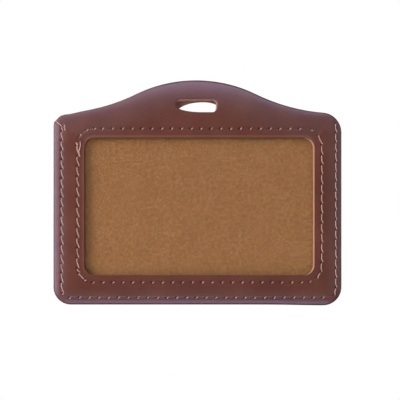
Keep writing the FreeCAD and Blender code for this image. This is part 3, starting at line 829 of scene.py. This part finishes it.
# One stitch from hole to hole, as flat (x, z) points with heights above the leather.
def layOfThread(start, end, lay, mirrored=False):
    start, end = np.array(start, float), np.array(end, float)
    length = np.hypot(*(end - start))
    ahead = (end - start) / length
    aside = np.array((-ahead[1], ahead[0])) * (-1 if mirrored else 1)
    share = np.linspace(0, 1, threadPieces["rows"])
    first = lay["start"] - 0.2 + threadRng.uniform(-0.05, 0.05)
    last = length + lay["over"]
    along = first + (last - first) * share
    drift = lay["drift"] + threadRng.uniform(-0.06, 0.06)
    wobble = 0.03 * np.sin(share * 5 + threadRng.uniform(0, 6))
    travelled = share * (last - first)
    swing = (2 * smooth(travelled, 0.1, 0.75) - 1) * (1 - smooth(travelled, 0.9, 1.6))
    across = drift * smooth(share, lay["turn"], 0.97) + wobble + lay["swing"] * swing
    rising = smooth(travelled, 0.0, 0.38)
    falling = 1 - smooth(travelled, last - first - 0.45, last - first)
    sinking = smooth(travelled, 0.52, 0.92) * lay["sunk"]
    height = (-threadPieces["inHole"]
              + (threadPieces["climb"] - threadPieces["sink"] * sinking) * np.minimum(rising, falling))
    flatPath = start + ahead * along[:, None] + aside * across[:, None]
    return flatPath, height


# All the stitches of one thread, lying on the face that skinOf gives.
def threadPiece(name, stitches, skinOf, outward, look, node):
    flats = np.vstack([flatPath for flatPath, height in stitches])
    heights = np.concatenate([height for flatPath, height in stitches])
    surface = skinOf(flats) + outward * heights
    vertices, faces, used, offsetCount = [], [], 0, 0
    for flatPath, height in stitches:
        count = len(flatPath)
        path = np.column_stack((flatPath[:, 0], surface[used:used + count], flatPath[:, 1]))
        used += count
        ring, quads = tube(path, threadRng.uniform(0, 6.28))
        faces += [tuple(i + offsetCount for i in quad) for quad in quads]
        vertices.append(ring)
        offsetCount += len(ring)
    mesh = bpy.data.meshes.new(name)
    mesh.from_pydata((np.vstack(vertices) * mm).tolist(), [], faces)
    mesh.shade_smooth()
    mesh.update()
    piece = bpy.data.objects.new(name, mesh)
    bpy.context.scene.collection.objects.link(piece)
    piece.data.materials.append(look)
    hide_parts(node)
    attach(piece, "pocket")


# One stitch for every pair of neighbouring holes, drifting to the other side where mirrored.
def stitchesOf(runs, mirrored=False):
    found = []
    for run, lay in runs:
        for start, end in zip(run[:-1], run[1:]):
            found.append(layOfThread(start, end, lay, mirrored))
    return found


def rearFaceAt(points):
    return np.full(len(points), leather)


def filmBackAt(points):
    liftHere, gapHere = pillow(points)
    return filmPiece["thickness"] - frontPiece["clearOfRear"] - pressedUnder(gapHere, liftHere)


# A stitch laid through these listed (x, z) points, its ends down in their holes.
def freeLay(points, proud):
    path = evenly(np.array(points, float), 0.1, closed=False)
    share = np.linspace(0, 1, len(path))
    ends = np.minimum(smooth(share, 0.0, 0.14), 1 - smooth(share, 0.86, 1.0))
    return path, -threadPieces["inHole"] + (threadPieces["inHole"] + proud) * ends


print("sewing threads")
windowStitches = stitchesOf(windowRuns)
# The window seam's thread is sewn back over itself near the top of its left side.
windowStitches += [freeLay([(-42.3, -12.9), (-42.2, -14.8), (-42.8, -16.8)], 0.10),
                   freeLay([(-43.9, -13.2), (-43.4, -14.4), (-43.35, -16.9)], 0.06),
                   freeLay([(-42.85, -15.9), (-42.75, -17.2), (-42.35, -19.0)], 0.12)]
edgeStitches = stitchesOf(edgeRuns)
# Its first stitches lie over the panel's edge and beside the seam.
edgeStitches += [freeLay([(edgeX0 + 0.5, -7.9), (edgeX0 - 0.7, -6.8), (edgeX0 - 2.2, -5.6)], 0.12),
                 freeLay([(edgeX0 + 1.3, -6.9), (edgeX0 + 1.25, -8.0), (edgeX0 + 1.35, -9.4)], 0.06)]
threadPiece("window_needle_stitches", windowStitches, frontFaceAt, -1, windowThreadLook,
            "window_needle_thread")
threadPiece("window_bobbin_stitches", stitchesOf(windowRuns, True), filmBackAt, 1, windowThreadLook,
            "window_bobbin_thread")
threadPiece("edge_needle_stitches", edgeStitches, frontFaceAt, -1, edgeThreadLook,
            "edge_needle_thread")
threadPiece("edge_bobbin_stitches", stitchesOf(edgeRuns, True), rearFaceAt, 1, edgeThreadLook,
            "edge_bobbin_thread")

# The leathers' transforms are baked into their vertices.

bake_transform(frontLeather)
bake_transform(rearLeather)

# Floor, light and camera.

print("studio")
middle = Vector((1.31, 0, -34.5)) * mm


# A softbox that faces the holder; direction is where it stands, seen from the holder.
def lamp(name, direction, distance, width, height, power, colour, glossy=True, diffuse=True):
    data = bpy.data.lights.new(name, "AREA")
    data.shape = "RECTANGLE"
    data.size, data.size_y = width, height
    data.energy = power
    data.color = colour
    thing = bpy.data.objects.new(name, data)
    bpy.context.scene.collection.objects.link(thing)
    away = Vector(direction).normalized()
    thing.location = middle + away * distance
    thing.rotation_mode = "QUATERNION"
    thing.rotation_quaternion = away.to_track_quat("Z", "Y")
    thing.visible_camera = False
    thing.visible_glossy = glossy
    thing.visible_diffuse = diffuse


plain, cool, blue = (1.0, 1.0, 1.0), (0.50, 0.62, 1.0), (0.32, 0.50, 1.0)
lamp("key_softbox", (-0.80, -0.50, 0.36), 0.75, 0.5, 0.55, 7.5, plain, glossy=False)
lamp("front_fill", (0.10, -1.0, -0.05), 0.9, 0.7, 0.7, 3.7, plain, glossy=False)
lamp("top_shine", (0.0, -0.60, 0.80), 0.7, 0.6, 0.3, 6.0, cool, diffuse=False)
lamp("left_shine", (-0.85, -0.52, 0.08), 0.7, 0.3, 0.6, 7.0, cool, diffuse=False)
lamp("right_shine", (0.85, -0.52, 0.08), 0.7, 0.3, 0.6, 1.6, (0.78, 0.80, 1.0), diffuse=False)
lamp("table_shine", (0.0, -0.60, -0.80), 0.7, 0.6, 0.3, 5.5, blue, diffuse=False)
lamp("table_bounce", (-0.2, -0.55, -0.85), 0.6, 0.6, 0.4, 2.0, plain, glossy=False)
lamp("back_left", (-0.7, 0.8, 0.45), 0.9, 0.7, 0.7, 5.5, plain)
lamp("back_right", (0.8, 0.7, 0.2), 0.9, 0.6, 0.6, 3.0, plain)

world = bpy.data.worlds.new("white_studio")
world.use_nodes = True
background = next(node for node in world.node_tree.nodes if node.type == "BACKGROUND")
background.inputs["Color"].default_value = (1, 1, 1, 1)
background.inputs["Strength"].default_value = 1.0
bpy.context.scene.world = world
world.cycles_visibility.diffuse = False
world.cycles_visibility.glossy = False
world.cycles_visibility.transmission = False
world.cycles_visibility.scatter = False

floorMesh = bpy.data.meshes.new("floor")
floorHalf, floorZ = 0.45, -0.30
floorMesh.from_pydata([(-floorHalf, -floorHalf, floorZ), (floorHalf, -floorHalf, floorZ),
                       (floorHalf, floorHalf, floorZ), (-floorHalf, floorHalf, floorZ)],
                      [], [(0, 1, 2, 3)])
floor = bpy.data.objects.new("floor", floorMesh)
bpy.context.scene.collection.objects.link(floor)
floorLook, floorTree, floorOutput, floorPlace = newMaterial("pale_floor")
floorGrain = addNode(floorTree, "ShaderNodeTexNoise", {"Scale": 60.0},
                     {"Vector": (floorPlace, "Object")})
floorTone = addNode(floorTree, "ShaderNodeValToRGB",
                    {"stops": [(0.3, (0.97, 0.97, 0.97, 1)), (0.7, (1, 1, 1, 1))]},
                    {"Fac": (floorGrain, "Fac")})
floorSurface = addNode(floorTree, "ShaderNodeBsdfPrincipled",
                       {"Roughness": 0.9, "Specular IOR Level": 0.0, "Emission Strength": 0.6,
                        "Emission Color": (1, 1, 1, 1)}, {"Base Color": (floorTone, "Color")})
floorTree.links.new(floorSurface.outputs["BSDF"], floorOutput.inputs["Surface"])
floorMesh.materials.append(floorLook)
floor.visible_diffuse = False
floor.visible_glossy = False

cameraData = bpy.data.cameras.new("camera")
cameraData.sensor_width = 36.0
frameWidth, cameraDistance = 146.2, 600.0
cameraData.lens = cameraDistance * cameraData.sensor_width / frameWidth
cameraData.clip_start, cameraData.clip_end = 0.01, 10.0
camera = bpy.data.objects.new("camera", cameraData)
bpy.context.scene.collection.objects.link(camera)
camera.location = middle + Vector((0, -cameraDistance * mm, 0))
camera.rotation_mode = "QUATERNION"
camera.rotation_quaternion = Vector((0, -1, 0)).to_track_quat("Z", "Y")
bpy.context.scene.camera = camera
bpy.context.scene.view_settings.view_transform = "Standard"
bpy.context.scene.view_settings.look = "None"
